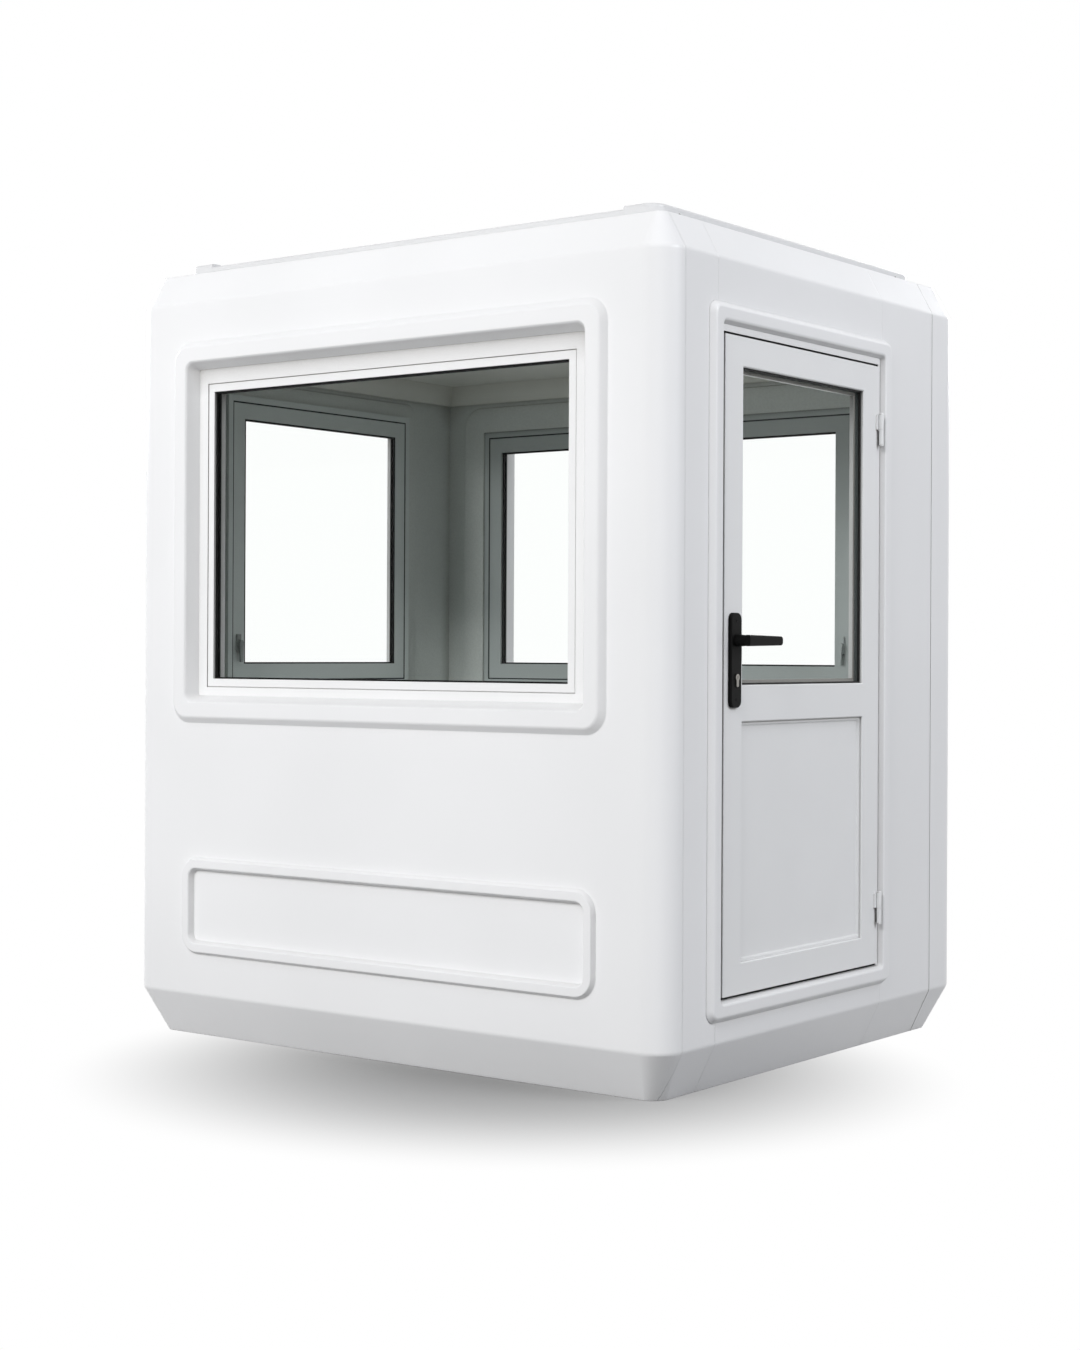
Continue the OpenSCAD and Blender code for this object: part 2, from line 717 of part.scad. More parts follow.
module left_window_frame() {
    color(white) on_left() translate([-left_y, left_c, 0])
        ring(left_w, left_h, slim_w, -reveal_d - frame_dp, -reveal_d);
}

module left_window_sash() {
    color(white) on_left() translate([-left_y, left_c, 0])
        ring(left_w - 2 * slim_w, left_h - 2 * slim_w, sash_w, -reveal_d - sash_back - sash_t,
            -reveal_d - sash_back);
}

module left_window_gasket() {
    color(dark) on_left() translate([-left_y, left_c, 0])
        seal(left_w - 2 * clear_slim, left_h - 2 * clear_slim, left_seal_e);
}

module left_window_glass() {
    color(glazing) on_left() translate([-left_y, left_c, 0])
        pane(left_w - 2 * clear_slim, left_h - 2 * clear_slim, left_seal_e);
}

module left_window_latch() {
    color(dark) on_left() translate([-left_y + left_w / 2 - slim_w - sash_w / 2, side_z + latch_up, 0])
        latch(-reveal_d - sash_back - sash_t);
}

module back_window_frame() {
    color(white) on_back() translate([-back_x, back_c, 0])
        ring(back_w, back_h, slim_w, -back_reveal_d - frame_dp, -back_reveal_d);
}

module back_window_sash() {
    color(white) on_back() translate([-back_x, back_c, 0])
        ring(back_w - 2 * slim_w, back_h - 2 * slim_w, sash_w, -back_reveal_d - sash_back - sash_t,
            -back_reveal_d - sash_back);
}

module back_window_gasket() {
    color(dark) on_back() translate([-back_x, back_c, 0])
        seal(back_w - 2 * clear_slim, back_h - 2 * clear_slim, back_seal_e);
}

module back_window_glass() {
    color(glazing) on_back() translate([-back_x, back_c, 0])
        pane(back_w - 2 * clear_slim, back_h - 2 * clear_slim, back_seal_e);
}

module back_window_latch() {
    color(dark) on_back() translate([-back_x - back_w / 2 + slim_w + sash_w / 2, side_z + latch_up, 0])
        latch(-back_reveal_d - sash_back - sash_t);
}

// Raised surround of the doorway, over the joint of wall and door frame
module door_surround() {
    w = door_w + 2 * jamb_face;
    h = door_h + jamb_head;
    foot = 2 * (door_draft + door_band + door_bevel);
    color(white) on_door() translate([door_y, door_z + h / 2, 0]) difference() {
        moulded(w + foot, h + foot, door_r, [[0, 0], [-door_bevel, door_rise - crest / 2],
            [-door_bevel - crest, door_rise]]);
        moulded(w, h, reveal_r, [[0, -eps], [0, 0], [door_draft, door_rise - crest / 2],
            [door_draft + crest, door_rise], [door_draft + crest, door_rise + eps]]);
    }
}

module door_frame() {
    color(white) on_door() translate([door_y, door_z + door_h / 2, 0]) {
        ring(door_w + 2 * lining, door_h + 2 * lining, lining, -wall_t, 0);
        ring(door_w + lining, door_h + lining, stop_h + lining / 2, -wall_t, stop_e);
    }
}

// Lower half of each hinge, with its pin and its foot on the door frame
module hinge_pins() {
    reach = leaf_gap + hinge_in + strap_foot;
    half_h = (hinge_h - knuckle_gap) / 2;
    color(white) on_door() for (z = hinge_zs) translate([hinge_s, z, hinge_e]) rotate([-90, 0, 0])
        translate([0, 0, -hinge_h / 2]) {
            cylinder(r = hinge_r, h = half_h);
            cylinder(r = pin_r, h = hinge_h - 2 * pin_end);
            translate([0, hinge_r - strap_t, 0]) cube([reach, strap_t, half_h]);
            translate([reach - strap_foot, hinge_r - strap_t, 0])
                cube([strap_foot, hinge_e - hinge_r + strap_t, half_h]);
        }
}

// Bevelled opening through the leaf
module leaf_hole(h) {
    moulded(pane_w, h, 0, [[0, leaf_e0 - eps], [0, leaf_out - leaf_bevel], [leaf_bevel, leaf_out],
        [leaf_bevel, leaf_out + eps]]);
}

module door_leaf() {
    color(white) on_door() difference() {
        translate([door_y, (leaf_z0 + leaf_z1) / 2, 0]) moulded(leaf_w, leaf_h, leaf_bevel,
            [[0, leaf_e0], [0, leaf_out - leaf_bevel / 2], [-leaf_bevel / 2, leaf_out]]);
        translate([door_y, pane_z, 0]) leaf_hole(pane_h);
        translate([door_y, low_z, 0]) leaf_hole(low_panel_h);
        translate([lever_s, lever_z, 0]) cyl_e(neck_r + neck_gap, leaf_e0 - eps, leaf_out + eps);
        translate([lever_s, lock_z, 0]) lock_shape(lock_gap, leaf_e0 - eps, leaf_out + eps);
    }
}

// Sunk panel with a bead round it
module door_lower_panel() {
    e1 = leaf_out - low_panel_back;
    color(white) on_door() translate([door_y, low_z, 0]) difference() {
        block(pane_w, low_panel_h, e1 - low_panel_t, e1 + panel_bead_out);
        moulded(pane_w - 2 * panel_bead, low_panel_h - 2 * panel_bead, 0, [[0, e1],
            [panel_bead_out, e1 + panel_bead_out], [panel_bead_out, e1 + panel_bead_out + eps]]);
    }
}

module door_glass() {
    color(glazing) on_door() translate([door_y, pane_z, 0]) pane(pane_w, pane_h, door_seal_e);
}

module door_gasket() {
    color(dark) on_door() translate([door_y, pane_z, 0]) seal(pane_w, pane_h, door_seal_e);
}

module door_glass_bead() {
    color(white) on_door() translate([door_y, pane_z, 0])
        ring(pane_w, pane_h, glaze_bead, leaf_e0, bead_e);
}

// Upper half of each hinge, with its strap on the leaf
module hinge_barrels() {
    half_h = (hinge_h - knuckle_gap) / 2;
    color(white) on_door() for (z = hinge_zs) translate([hinge_s, z, hinge_e]) rotate([-90, 0, 0])
        difference() {
            translate([0, 0, knuckle_gap / 2]) {
                cylinder(r = hinge_r, h = half_h);
                translate([-strap_t / 2, 0, 0]) cube([strap_t, hinge_out, half_h]);
                translate([-strap_w, hinge_out - strap_t, 0]) cube([strap_w + strap_t / 2, strap_t, half_h]);
            }
            cylinder(r = pin_r + pin_gap, h = hinge_h / 2 - pin_end);
        }
}

// Lock outline: a round part over a narrower tail, grown by gap
module lock_shape(gap, e0, e1) {
    cyl_e(lock_r + gap, e0, e1);
    translate([0, -lock_tail / 2, 0]) block(2 * (lock_tail_r + gap), lock_tail, e0, e1);
    translate([0, -lock_tail, 0]) cyl_e(lock_tail_r + gap, e0, e1);
}

// Bevelled plate on the leaf's outer side; turned about for the inner side
module handle_plate() {
    difference() {
        translate([lever_s, plate_z, 0]) moulded(plate_w, plate_h, plate_r,
            [[0, 0], [0, plate_t - plate_bevel], [-plate_bevel, plate_t]]);
        translate([lever_s, lever_z, 0]) cyl_e(neck_r + neck_gap, -eps, plate_t + eps);
        translate([lever_s, lock_z, 0]) lock_shape(lock_gap, -eps, plate_t + eps);
    }
}

module handle_plates() {
    color(dark) on_door() {
        translate([0, 0, leaf_out]) handle_plate();
        translate([0, 0, leaf_e0]) mirror([0, 0, 1]) handle_plate();
    }
}

module lock_cylinder() {
    color(steel) on_door() translate([lever_s, lock_z, 0]) difference() {
        lock_shape(0, plate_e0 - lock_out, plate_e1 + lock_out);
        block(key_w, key_h, plate_e1 + lock_out - key_d, plate_e1 + lock_out + eps);
        block(key_w, key_h, plate_e0 - lock_out - eps, plate_e0 - lock_out + key_d);
    }
}

// Side view of the grip, from the lever's axis to its rounded free end
function grip_side() = let(
    h0 = grip_h / 2,
    h1 = grip_end_h / 2,
    low = [grip_l, -h1],
    top = [grip_l, h1]
) concat([[-h0, -h0]], round_corner([-h0, -h0], low, top, grip_end_r, grip_steps), round_corner(low,
    top, [-h0, h0], grip_end_r, grip_steps), [[-h0, h0]]);

// Cross-section of the grip, with round edges
function grip_cross() = let(
    h = grip_h / 2,
    t = grip_t / 2,
    c = [[-h, -t], [h, -t], [h, t], [-h, t]]
) [for (i = [0:3]) each round_corner(c[(i + 3) % 4], c[i], c[(i + 1) % 4], grip_edge)];

// Hub and grip on the outer side of the leaf; turned about for the inner side
module grip() {
    cyl_e(neck_r, 0, plate_t + grip_out);
    translate([0, 0, plate_t + hub_gap]) cylinder(r1 = hub_r, r2 = hub_end_r, h = grip_out - hub_gap);
    translate([0, 0, plate_t + grip_out]) intersection() {
        translate([0, 0, -grip_t]) linear_extrude(2 * grip_t) polygon(grip_side());
        translate([-grip_h, 0, 0]) rotate([90, 0, 90]) linear_extrude(2 * grip_l) polygon(grip_cross());
    }
}

module lever_handle() {
    color(dark) on_door() translate([lever_s, lever_z, 0]) {
        cyl_e(neck_r, leaf_e0, leaf_out);
        translate([0, 0, leaf_out]) grip();
        translate([0, 0, leaf_e0]) mirror([0, 0, 1]) grip();
    }
}

base_slab();
floor_covering();
front_wall();
left_wall();
back_wall();
door_wall_front();
door_wall_back();
door_wall_head();
door_wall_sill();
roof_deck();
ceiling();
roof_rim_front();
roof_rim_back();
roof_rim_left();
roof_rim_right();
front_window_frame();
front_window_bead();
front_window_gasket();
front_window_glass();
left_window_frame();
left_window_sash();
left_window_gasket();
left_window_glass();
left_window_latch();
back_window_frame();
back_window_sash();
back_window_gasket();
back_window_glass();
back_window_latch();
door_surround();
door_frame();
hinge_pins();
door_leaf();
door_lower_panel();
door_glass();
door_gasket();
door_glass_bead();
hinge_barrels();
handle_plates();
lock_cylinder();
lever_handle();
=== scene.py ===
"""Looks of the guard booth: materials, small fittings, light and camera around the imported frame."""

import json
import math

import bmesh
import bpy
from mathutils import Matrix, Vector


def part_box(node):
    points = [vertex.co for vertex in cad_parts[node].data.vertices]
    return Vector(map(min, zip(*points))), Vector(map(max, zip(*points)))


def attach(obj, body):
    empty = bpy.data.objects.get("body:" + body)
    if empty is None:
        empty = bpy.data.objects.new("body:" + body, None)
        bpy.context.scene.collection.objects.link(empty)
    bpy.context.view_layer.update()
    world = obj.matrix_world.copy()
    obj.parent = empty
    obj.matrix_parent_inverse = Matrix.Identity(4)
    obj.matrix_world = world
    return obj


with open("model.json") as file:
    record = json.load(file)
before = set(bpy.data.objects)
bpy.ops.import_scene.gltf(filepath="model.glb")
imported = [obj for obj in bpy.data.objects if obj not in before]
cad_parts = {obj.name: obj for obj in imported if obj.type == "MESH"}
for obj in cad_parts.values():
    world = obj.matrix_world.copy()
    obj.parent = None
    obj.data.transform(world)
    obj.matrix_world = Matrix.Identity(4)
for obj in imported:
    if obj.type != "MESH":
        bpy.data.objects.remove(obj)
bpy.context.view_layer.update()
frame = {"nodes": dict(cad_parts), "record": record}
nodes = frame["nodes"]


# Node trees

# Range of a noise texture that most patterns spread over
NOISE_LO, NOISE_HI = 0.3, 0.7
BEVEL_SAMPLES = 6
# Painted shade under ledges: samples, reach, upward lean, and the openness where it starts and is
# full
LEDGE_SHADE_SAMPLES = 8
LEDGE_SHADE_REACH = 0.09
LEDGE_SHADE_LEAN = (0, 0, 0.9)
LEDGE_SHADE_START, LEDGE_SHADE_FULL = 0.72, 0.12


def rgb(r, g, b):
    return (r, g, b, 1.0)


def darker(tone, share):
    return rgb(*[c * share for c in tone])


class Nodes:
    """Helpers that fill an emptied node tree."""

    def __init__(self, tree, out_kind):
        self.t = tree
        self.t.nodes.clear()
        self.out = self.node(out_kind)

    def node(self, kind, **props):
        n = self.t.nodes.new(kind)
        for k, v in props.items():
            setattr(n, k, v)
        return n

    def put(self, socket, value):
        if isinstance(value, bpy.types.NodeSocket):
            self.t.links.new(value, socket)
        else:
            socket.default_value = value

    def math(self, op, a, b):
        n = self.node("ShaderNodeMath", operation=op)
        self.put(n.inputs[0], a)
        self.put(n.inputs[1], b)
        return n.outputs[0]

    def seen(self):
        """1 for rays from the camera, in mirrors and through panes, and 0 for bounced light."""
        path = self.node("ShaderNodeLightPath").outputs
        seen = path["Is Camera Ray"]
        for ray in ("Is Glossy Ray", "Is Transmission Ray"):
            seen = self.math("MAXIMUM", seen, path[ray])
        return seen

    def finish_mixed(self, fac, a, b):
        n = self.node("ShaderNodeMixShader")
        self.put(n.inputs[0], fac)
        self.put(n.inputs[1], a.outputs[0])
        self.put(n.inputs[2], b.outputs[0])
        self.put(self.out.inputs["Surface"], n.outputs[0])


class Mat(Nodes):
    """A node material whose patterns sit on object coordinates."""

    def __init__(self, name):
        self.m = bpy.data.materials.new(name)
        self.m.use_nodes = True
        super().__init__(self.m.node_tree, "ShaderNodeOutputMaterial")
        self.pos = self.node("ShaderNodeTexCoord").outputs["Object"]

    def noise(self, scale, detail, stretch=None):
        n = self.node("ShaderNodeTexNoise")
        pos = self.pos
        if stretch:
            mapping = self.node("ShaderNodeMapping")
            self.put(mapping.inputs["Vector"], pos)
            mapping.inputs["Scale"].default_value = stretch
            pos = mapping.outputs[0]
        self.put(n.inputs["Vector"], pos)
        n.inputs["Scale"].default_value = scale
        n.inputs["Detail"].default_value = detail
        return n.outputs["Fac"]

    def ramp(self, fac, lo, hi, a=0.0, b=1.0, kind="LINEAR"):
        n = self.node("ShaderNodeMapRange", interpolation_type=kind)
        self.put(n.inputs["Value"], fac)
        n.inputs["From Min"].default_value = lo
        n.inputs["From Max"].default_value = hi
        n.inputs["To Min"].default_value = a
        n.inputs["To Max"].default_value = b
        return n.outputs["Result"]

    def spread(self, noise, a=0.0, b=1.0):
        return self.ramp(noise, NOISE_LO, NOISE_HI, a, b)

    def mix(self, fac, a, b, blend="MIX"):
        n = self.node("ShaderNodeMix", data_type="RGBA", blend_type=blend)
        self.put(n.inputs["Factor"], fac)
        self.put(n.inputs[6], a)
        self.put(n.inputs[7], b)
        return n.outputs[2]

    def axes(self):
        n = self.node("ShaderNodeSeparateXYZ")
        self.put(n.inputs[0], self.pos)
        return n.outputs

    def bump(self, height, distance, strength, normal):
        n = self.node("ShaderNodeBump")
        self.put(n.inputs["Height"], height)
        n.inputs["Distance"].default_value = distance
        n.inputs["Strength"].default_value = strength
        self.put(n.inputs["Normal"], normal)
        return n.outputs[0]

    def bevel(self, radius):
        n = self.node("ShaderNodeBevel", samples=BEVEL_SAMPLES)
        n.inputs["Radius"].default_value = radius
        return n.outputs[0]

    def paint_ledge_shade(self, color, tint):
        """Painted shade: greys a colour under ledges, where little of the sky above the surface is
        open.
        """
        up = self.node("ShaderNodeVectorMath", operation="ADD")
        self.put(up.inputs[0], self.node("ShaderNodeNewGeometry").outputs["Normal"])
        up.inputs[1].default_value = LEDGE_SHADE_LEAN
        unit = self.node("ShaderNodeVectorMath", operation="NORMALIZE")
        self.put(unit.inputs[0], up.outputs[0])
        sky = self.node("ShaderNodeAmbientOcclusion", samples=LEDGE_SHADE_SAMPLES)
        sky.inputs["Distance"].default_value = LEDGE_SHADE_REACH
        self.put(sky.inputs["Normal"], unit.outputs[0])
        dark = self.ramp(sky.outputs["AO"], LEDGE_SHADE_START, LEDGE_SHADE_FULL)
        return self.mix(dark, color, rgb(*tint), "MULTIPLY")

    def surface(self, color, rough, normal, **values):
        n = self.node("ShaderNodeBsdfPrincipled")
        self.put(n.inputs["Base Color"], color)
        self.put(n.inputs["Roughness"], rough)
        self.put(n.inputs["Normal"], normal)
        for k, v in values.items():
            n.inputs[k.replace("_", " ")].default_value = v
        self.put(self.out.inputs["Surface"], n.outputs[0])
        return self.m


# Materials

front_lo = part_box("front_window_frame")[0]
back_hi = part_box("back_window_frame")[1]
left_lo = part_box("left_window_frame")[0]
# The painted shade on the room side starts behind the frames' outer faces, deeper in the left sash
# and at the back than in the walls, and ends past the floor and the ceiling
WALL_DEPTH, SASH_DEPTH, BACK_DEPTH = 0.015, 0.032, 0.036
ROOM_MARGIN = 0.03
SOFT = 0.003
WALL_X = -left_lo.x - WALL_DEPTH
SASH_X = -left_lo.x - SASH_DEPTH
ROOM_Y = (front_lo.y + WALL_DEPTH, back_hi.y - BACK_DEPTH)
ROOM_Z = (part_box("floor_covering")[0].z - ROOM_MARGIN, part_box("ceiling")[1].z + ROOM_MARGIN)

# Tints of the painted shade under ledges, on gelcoat and on powder coat
GELCOAT_LEDGE_SHADE = (0.60, 0.58, 0.555)
COAT_LEDGE_SHADE = (0.32, 0.305, 0.285)
COAT_EDGE = 0.0015
TWO_TONE_EDGE = 0.001
TWO_TONE_SOFT = 0.001
PLAIN_EDGE = 0.0008

WHITE = (0.865, 0.868, 0.878)
# The rim's gelcoat is the shell's white in a darker tone: painted shade, so the rim reads greyer than
# the shell
RIM_SHADED_WHITE = (0.70, 0.703, 0.712)
FRAME_WHITE = (0.85, 0.852, 0.856)
LEAF_WHITE = (0.845, 0.85, 0.856)
# Room-side tones: painted shade, dimmer and greener than the white outside, darkest at the back sash
ROOM_SHADE_TONE = (0.64, 0.675, 0.655)
SASH_ROOM_SHADE_TONE = (0.66, 0.71, 0.70)
BACK_SASH_ROOM_SHADE_TONE = (0.46, 0.50, 0.495)
CEILING_TONE = (0.74, 0.745, 0.69)
RUBBER_BLACK = (0.012, 0.012, 0.012)


def inside_mask(k, half_x):
    """1 on the room side, up to half_x from the middle, and 0 on the outer side, skirt and eave."""
    x, y, z = k.axes()
    mask = k.ramp(k.math("ABSOLUTE", x, 0.0), half_x + SOFT, half_x - SOFT)
    for axis, (lo, hi) in ((y, ROOM_Y), (z, ROOM_Z)):
        mask = k.math("MULTIPLY", mask, k.ramp(axis, lo - SOFT, lo + SOFT))
        mask = k.math("MULTIPLY", mask, k.ramp(axis, hi + SOFT, hi - SOFT))
    return mask


def gelcoat(name, tone, edge, room_shade=None, rough=0.34):
    """Moulded GRP: slightly wavy waxed gelcoat, greyed under ledges by painted shade; the room side
    may carry a flat painted shade of its own.
    """
    k = Mat(name)
    wide = k.noise(scale=1.3, detail=2.0)
    fine = k.noise(scale=140.0, detail=2.0)
    wave = k.noise(scale=5.0, detail=2.0)
    color = k.mix(k.ramp(wide, lo=0.35, hi=0.65), darker(tone, share=0.965), rgb(*tone))
    # Painted shade on the room side: a dimmer grey-green tone with specks
    if room_shade:
        speck = k.mix(k.ramp(fine, lo=0.4, hi=0.6), darker(room_shade, share=0.95), rgb(*room_shade))
        color = k.mix(inside_mask(k, WALL_X), color, speck)
    # Painted shade under ledges
    color = k.paint_ledge_shade(color, GELCOAT_LEDGE_SHADE)
    r = k.spread(k.noise(scale=22.0, detail=4.0), rough - 0.05, rough + 0.06)
    n = k.bump(wave, distance=0.004, strength=0.12, normal=k.bevel(edge))
    n = k.bump(fine, distance=0.0006, strength=0.10, normal=n)
    return k.surface(color, r, n, Coat_Weight=0.12, Coat_Roughness=0.18, Specular_IOR_Level=0.3)


def coat_rough(k, rough):
    return k.spread(k.noise(scale=40.0, detail=3.0), rough - 0.05, rough + 0.07)


def coat_bump(k, grain, edge):
    return k.bump(grain, distance=0.0003, strength=0.15, normal=k.bevel(edge))


def coated(name, tone, room_shade=None, rough=0.4, ledge_shade=COAT_LEDGE_SHADE):
    """Powder coat on window and door profiles, greyed under ledges by painted shade unless that is
    left out; the room side may carry a painted shade of its own.
    """
    k = Mat(name)
    wide = k.noise(scale=3.0, detail=2.0)
    color = k.mix(k.spread(wide), darker(tone, share=0.97), rgb(*tone))
    # Painted shade on the room side, in a flat tone
    if room_shade:
        color = k.mix(inside_mask(k, SASH_X), color, rgb(*room_shade))
    # Painted shade under ledges, in the given tint
    if ledge_shade:
        color = k.paint_ledge_shade(color, ledge_shade)
    fine = k.noise(scale=700.0, detail=2.0)
    return k.surface(
        color, coat_rough(k, rough), coat_bump(k, fine, COAT_EDGE), Specular_IOR_Level=0.4
    )


def two_tone(name, tone, other, x0, x1, rough, spec):
    """Profile that carries another finish between the depths x0 and x1 of the door wall."""
    k = Mat(name)
    x = k.axes()[0]
    starts = k.ramp(x, x0 - TWO_TONE_SOFT, x0 + TWO_TONE_SOFT)
    ends = k.ramp(x, x1 + TWO_TONE_SOFT, x1 - TWO_TONE_SOFT)
    band = k.math("MULTIPLY", starts, ends)
    grain = k.noise(scale=500.0, detail=2.0)
    pale = k.mix(k.spread(grain), darker(tone, share=0.97), rgb(*tone))
    color = k.mix(band, pale, rgb(*other))
    return k.surface(
        color, coat_rough(k, rough), coat_bump(k, grain, TWO_TONE_EDGE), Specular_IOR_Level=spec
    )


def plain(name, tone, rough, scale, depth, metal=0.0, stretch=None, spec=0.5):
    """Rubber, vinyl, painted or bare metal with a fine grain."""
    k = Mat(name)
    grain = k.noise(scale, detail=4.0, stretch=stretch)
    color = k.mix(k.spread(grain), darker(tone, share=0.8), rgb(*tone))
    r = k.spread(grain, rough - 0.06, rough + 0.08)
    n = k.bump(grain, depth, strength=0.3, normal=k.bevel(PLAIN_EDGE))
    return k.surface(color, r, n, Metallic=metal, Specular_IOR_Level=spec)


PANE_TINT = rgb(0.994, 0.999, 0.996)
PANE_IOR = 1.3
PANE_MIRROR = 0.2


def glass(name):
    """Clear pane: lets the view through, mirrors at a low angle and carries a trace of dust."""
    k = Mat(name)
    see = k.node("ShaderNodeBsdfTransparent")
    see.inputs["Color"].default_value = PANE_TINT
    gloss = k.node("ShaderNodeBsdfGlossy")
    gloss.inputs["Color"].default_value = rgb(1, 1, 1)
    k.put(gloss.inputs["Roughness"], k.spread(k.noise(scale=9.0, detail=2.0), 0.0, 0.03))
    fresnel = k.node("ShaderNodeFresnel")
    fresnel.inputs["IOR"].default_value = PANE_IOR
    mirror = k.math("MULTIPLY", fresnel.outputs[0], PANE_MIRROR)
    dust = k.ramp(k.noise(scale=6.0, detail=5.0), lo=0.45, hi=0.75, a=0.0, b=0.005)
    back = k.node("ShaderNodeNewGeometry").outputs["Backfacing"]
    facing = k.math("SUBTRACT", 1.0, back)
    k.finish_mixed(k.math("MULTIPLY", k.math("ADD", mirror, dust), facing), see, gloss)
    return k.m


shell = gelcoat("gelcoat_white", WHITE, edge=0.005, room_shade=ROOM_SHADE_TONE)
deck = gelcoat("gelcoat_deck", WHITE, edge=0.003)
rim = gelcoat("gelcoat_rim", RIM_SHADED_WHITE, edge=0.002)
ceiling_mat = gelcoat("ceiling_lining", CEILING_TONE, edge=0.003, rough=0.5)
frame_white = coated("frame_white", FRAME_WHITE)
sash_white = coated("sash_white", FRAME_WHITE, SASH_ROOM_SHADE_TONE)
back_sash_white = coated("back_sash_white", FRAME_WHITE, BACK_SASH_ROOM_SHADE_TONE)
leaf_white = coated("leaf_white", LEAF_WHITE, rough=0.36)
# The hinge and the back latch have no painted shade under ledges; the back latch takes the back
# sash's room-side painted shade as its tone
hinge_white = coated("hinge_white", LEAF_WHITE, rough=0.36, ledge_shade=None)
latch_pale = coated("latch_pale", BACK_SASH_ROOM_SHADE_TONE, ledge_shade=None)
vinyl = plain("floor_vinyl", (0.52, 0.53, 0.52), rough=0.55, scale=260.0, depth=0.0004)
slab_grey = plain("base_grey", (0.34, 0.34, 0.33), rough=0.7, scale=60.0, depth=0.002)
rubber = plain("rubber_black", RUBBER_BLACK, rough=0.62, scale=500.0, depth=0.0003, spec=0.12)
satin_black = plain(
    "trim_black", (0.006, 0.006, 0.006), rough=0.42, scale=900.0, depth=0.0002, spec=0.06
)
seal_grey = plain(
    "seal_grey", (0.045, 0.05, 0.05), rough=0.62, scale=500.0, depth=0.0003, spec=0.12
)
latch_grey = plain(
    "latch_grey", (0.34, 0.365, 0.36), rough=0.45, scale=700.0, depth=0.0002, spec=0.3
)
nickel = plain(
    "lock_nickel",
    (0.30, 0.29, 0.27),
    rough=0.3,
    scale=900.0,
    depth=0.0001,
    metal=1.0,
    stretch=(1, 1, 0.06),
)
clear = glass("pane_clear")

# The door frame is black in its rebate, and the door's gasket is black in its outer half
REBATE_IN, REBATE_OUT = 0.009, 0.003
PAST_FACE = 1.0
d_lo, d_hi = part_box("door_frame")
g_lo, g_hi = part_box("door_gasket")
rebate = two_tone(
    "door_frame_seal",
    FRAME_WHITE,
    (0.02, 0.02, 0.02),
    x0=d_lo.x + REBATE_IN,
    x1=d_hi.x - REBATE_OUT,
    rough=0.4,
    spec=0.4,
)
half_seal = two_tone(
    "door_gasket_edge",
    (0.12, 0.135, 0.135),
    RUBBER_BLACK,
    x0=(g_lo.x + g_hi.x) / 2,
    x1=g_hi.x + PAST_FACE,
    rough=0.6,
    spec=0.25,
)

LOOK_BY_NAME = {
    "base_slab": slab_grey,
    "floor_covering": vinyl,
    "ceiling": ceiling_mat,
    "roof_deck": deck,
    "front_window_frame": frame_white,
    "front_window_bead": frame_white,
    "left_window_latch": latch_grey,
    "back_window_latch": latch_pale,
    "door_frame": rebate,
    "door_gasket": half_seal,
    "door_leaf": leaf_white,
    "door_lower_panel": leaf_white,
    "door_glass_bead": leaf_white,
    "hinge_pins": hinge_white,
    "hinge_barrels": hinge_white,
    "handle_plates": satin_black,
    "lever_handle": satin_black,
    "lock_cylinder": nickel,
}
LOOK_BY_END = {"_gasket": rubber, "_glass": clear}
LOOK_BY_START = {"roof_rim": rim, "back_window": back_sash_white, "left_window": sash_white}


def look(name):
    """Material of a CAD node: by its whole name, its end or its start, or else the shell's."""
    if name in LOOK_BY_NAME:
        return LOOK_BY_NAME[name]
    for end, mat in LOOK_BY_END.items():
        if name.endswith(end):
            return mat
    for start, mat in LOOK_BY_START.items():
        if name.startswith(start):
            return mat
    return shell


for node_name, obj in nodes.items():
    for s in obj.material_slots:
        s.material = look(node_name)


# Small fittings

# Rings of a screw head and of a hinge cap, as shares of its radius and height
SCREW_RINGS = ((1.0, 0.0), (1.0, 0.4), (0.86, 1.0), (0.45, 1.05))
CAP_RINGS = ((1.0, 0.0), (1.04, 0.2), (0.98, 0.6), (0.7, 0.92), (0.3, 1.0))
SCREW_SIDES = 20
CAP_SIDES = 24
# Cross recess: its share of the head's radius, shares of that at arms and notches, the sides that
# are arms in each quarter, and the heights of its top and floor
RECESS = 0.45
ARM, NOTCH = 0.95, 0.35
ARM_STEP = 5
ARM_SIDES = (0, 1, 4)
RECESS_RISES = (1.05, 0.15)
# Cross-section of a seal strip, as shares of its width and height
SEAL_SECTION = ((0.0, 0.0), (0.0, 0.7), (0.3, 1.0), (0.7, 1.0), (1.0, 0.7), (1.0, 0.0))

SEAL_W, SEAL_H = 0.0045, 0.0012
RIM_SCREW_R, RIM_SCREW_H = 0.0055, 0.0012
RIM_SCREW_END, RIM_SCREW_Z = 0.11, 0.018
HINGE_CAP_R, HINGE_CAP_H = 0.0068, 0.006
PLATE_SCREW_R, PLATE_SCREW_H = 0.0042, 0.0010
PLATE_SCREW_END = 0.022
# Digits to which heights in a CAD mesh are told apart
Z_DIGITS = 5


def show(name, data):
    o = bpy.data.objects.new(name, data)
    bpy.context.scene.collection.objects.link(o)
    return o


def mesh_object(name, bm, mat):
    me = bpy.data.meshes.new(name)
    bm.to_mesh(me)
    bm.free()
    me.materials.append(mat)
    return show(name, me)


def piece(name, bm, mat, body):
    o = mesh_object(name, bm, mat)
    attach(o, body)


def ring(bm, place, radii, z):
    """Ring of vertices with the given radii, at height z of a place."""
    turns = [2 * math.pi * i / len(radii) for i in range(len(radii))]
    return [
        bm.verts.new(place @ Vector((r * math.cos(a), r * math.sin(a), z)))
        for r, a in zip(radii, turns)
    ]


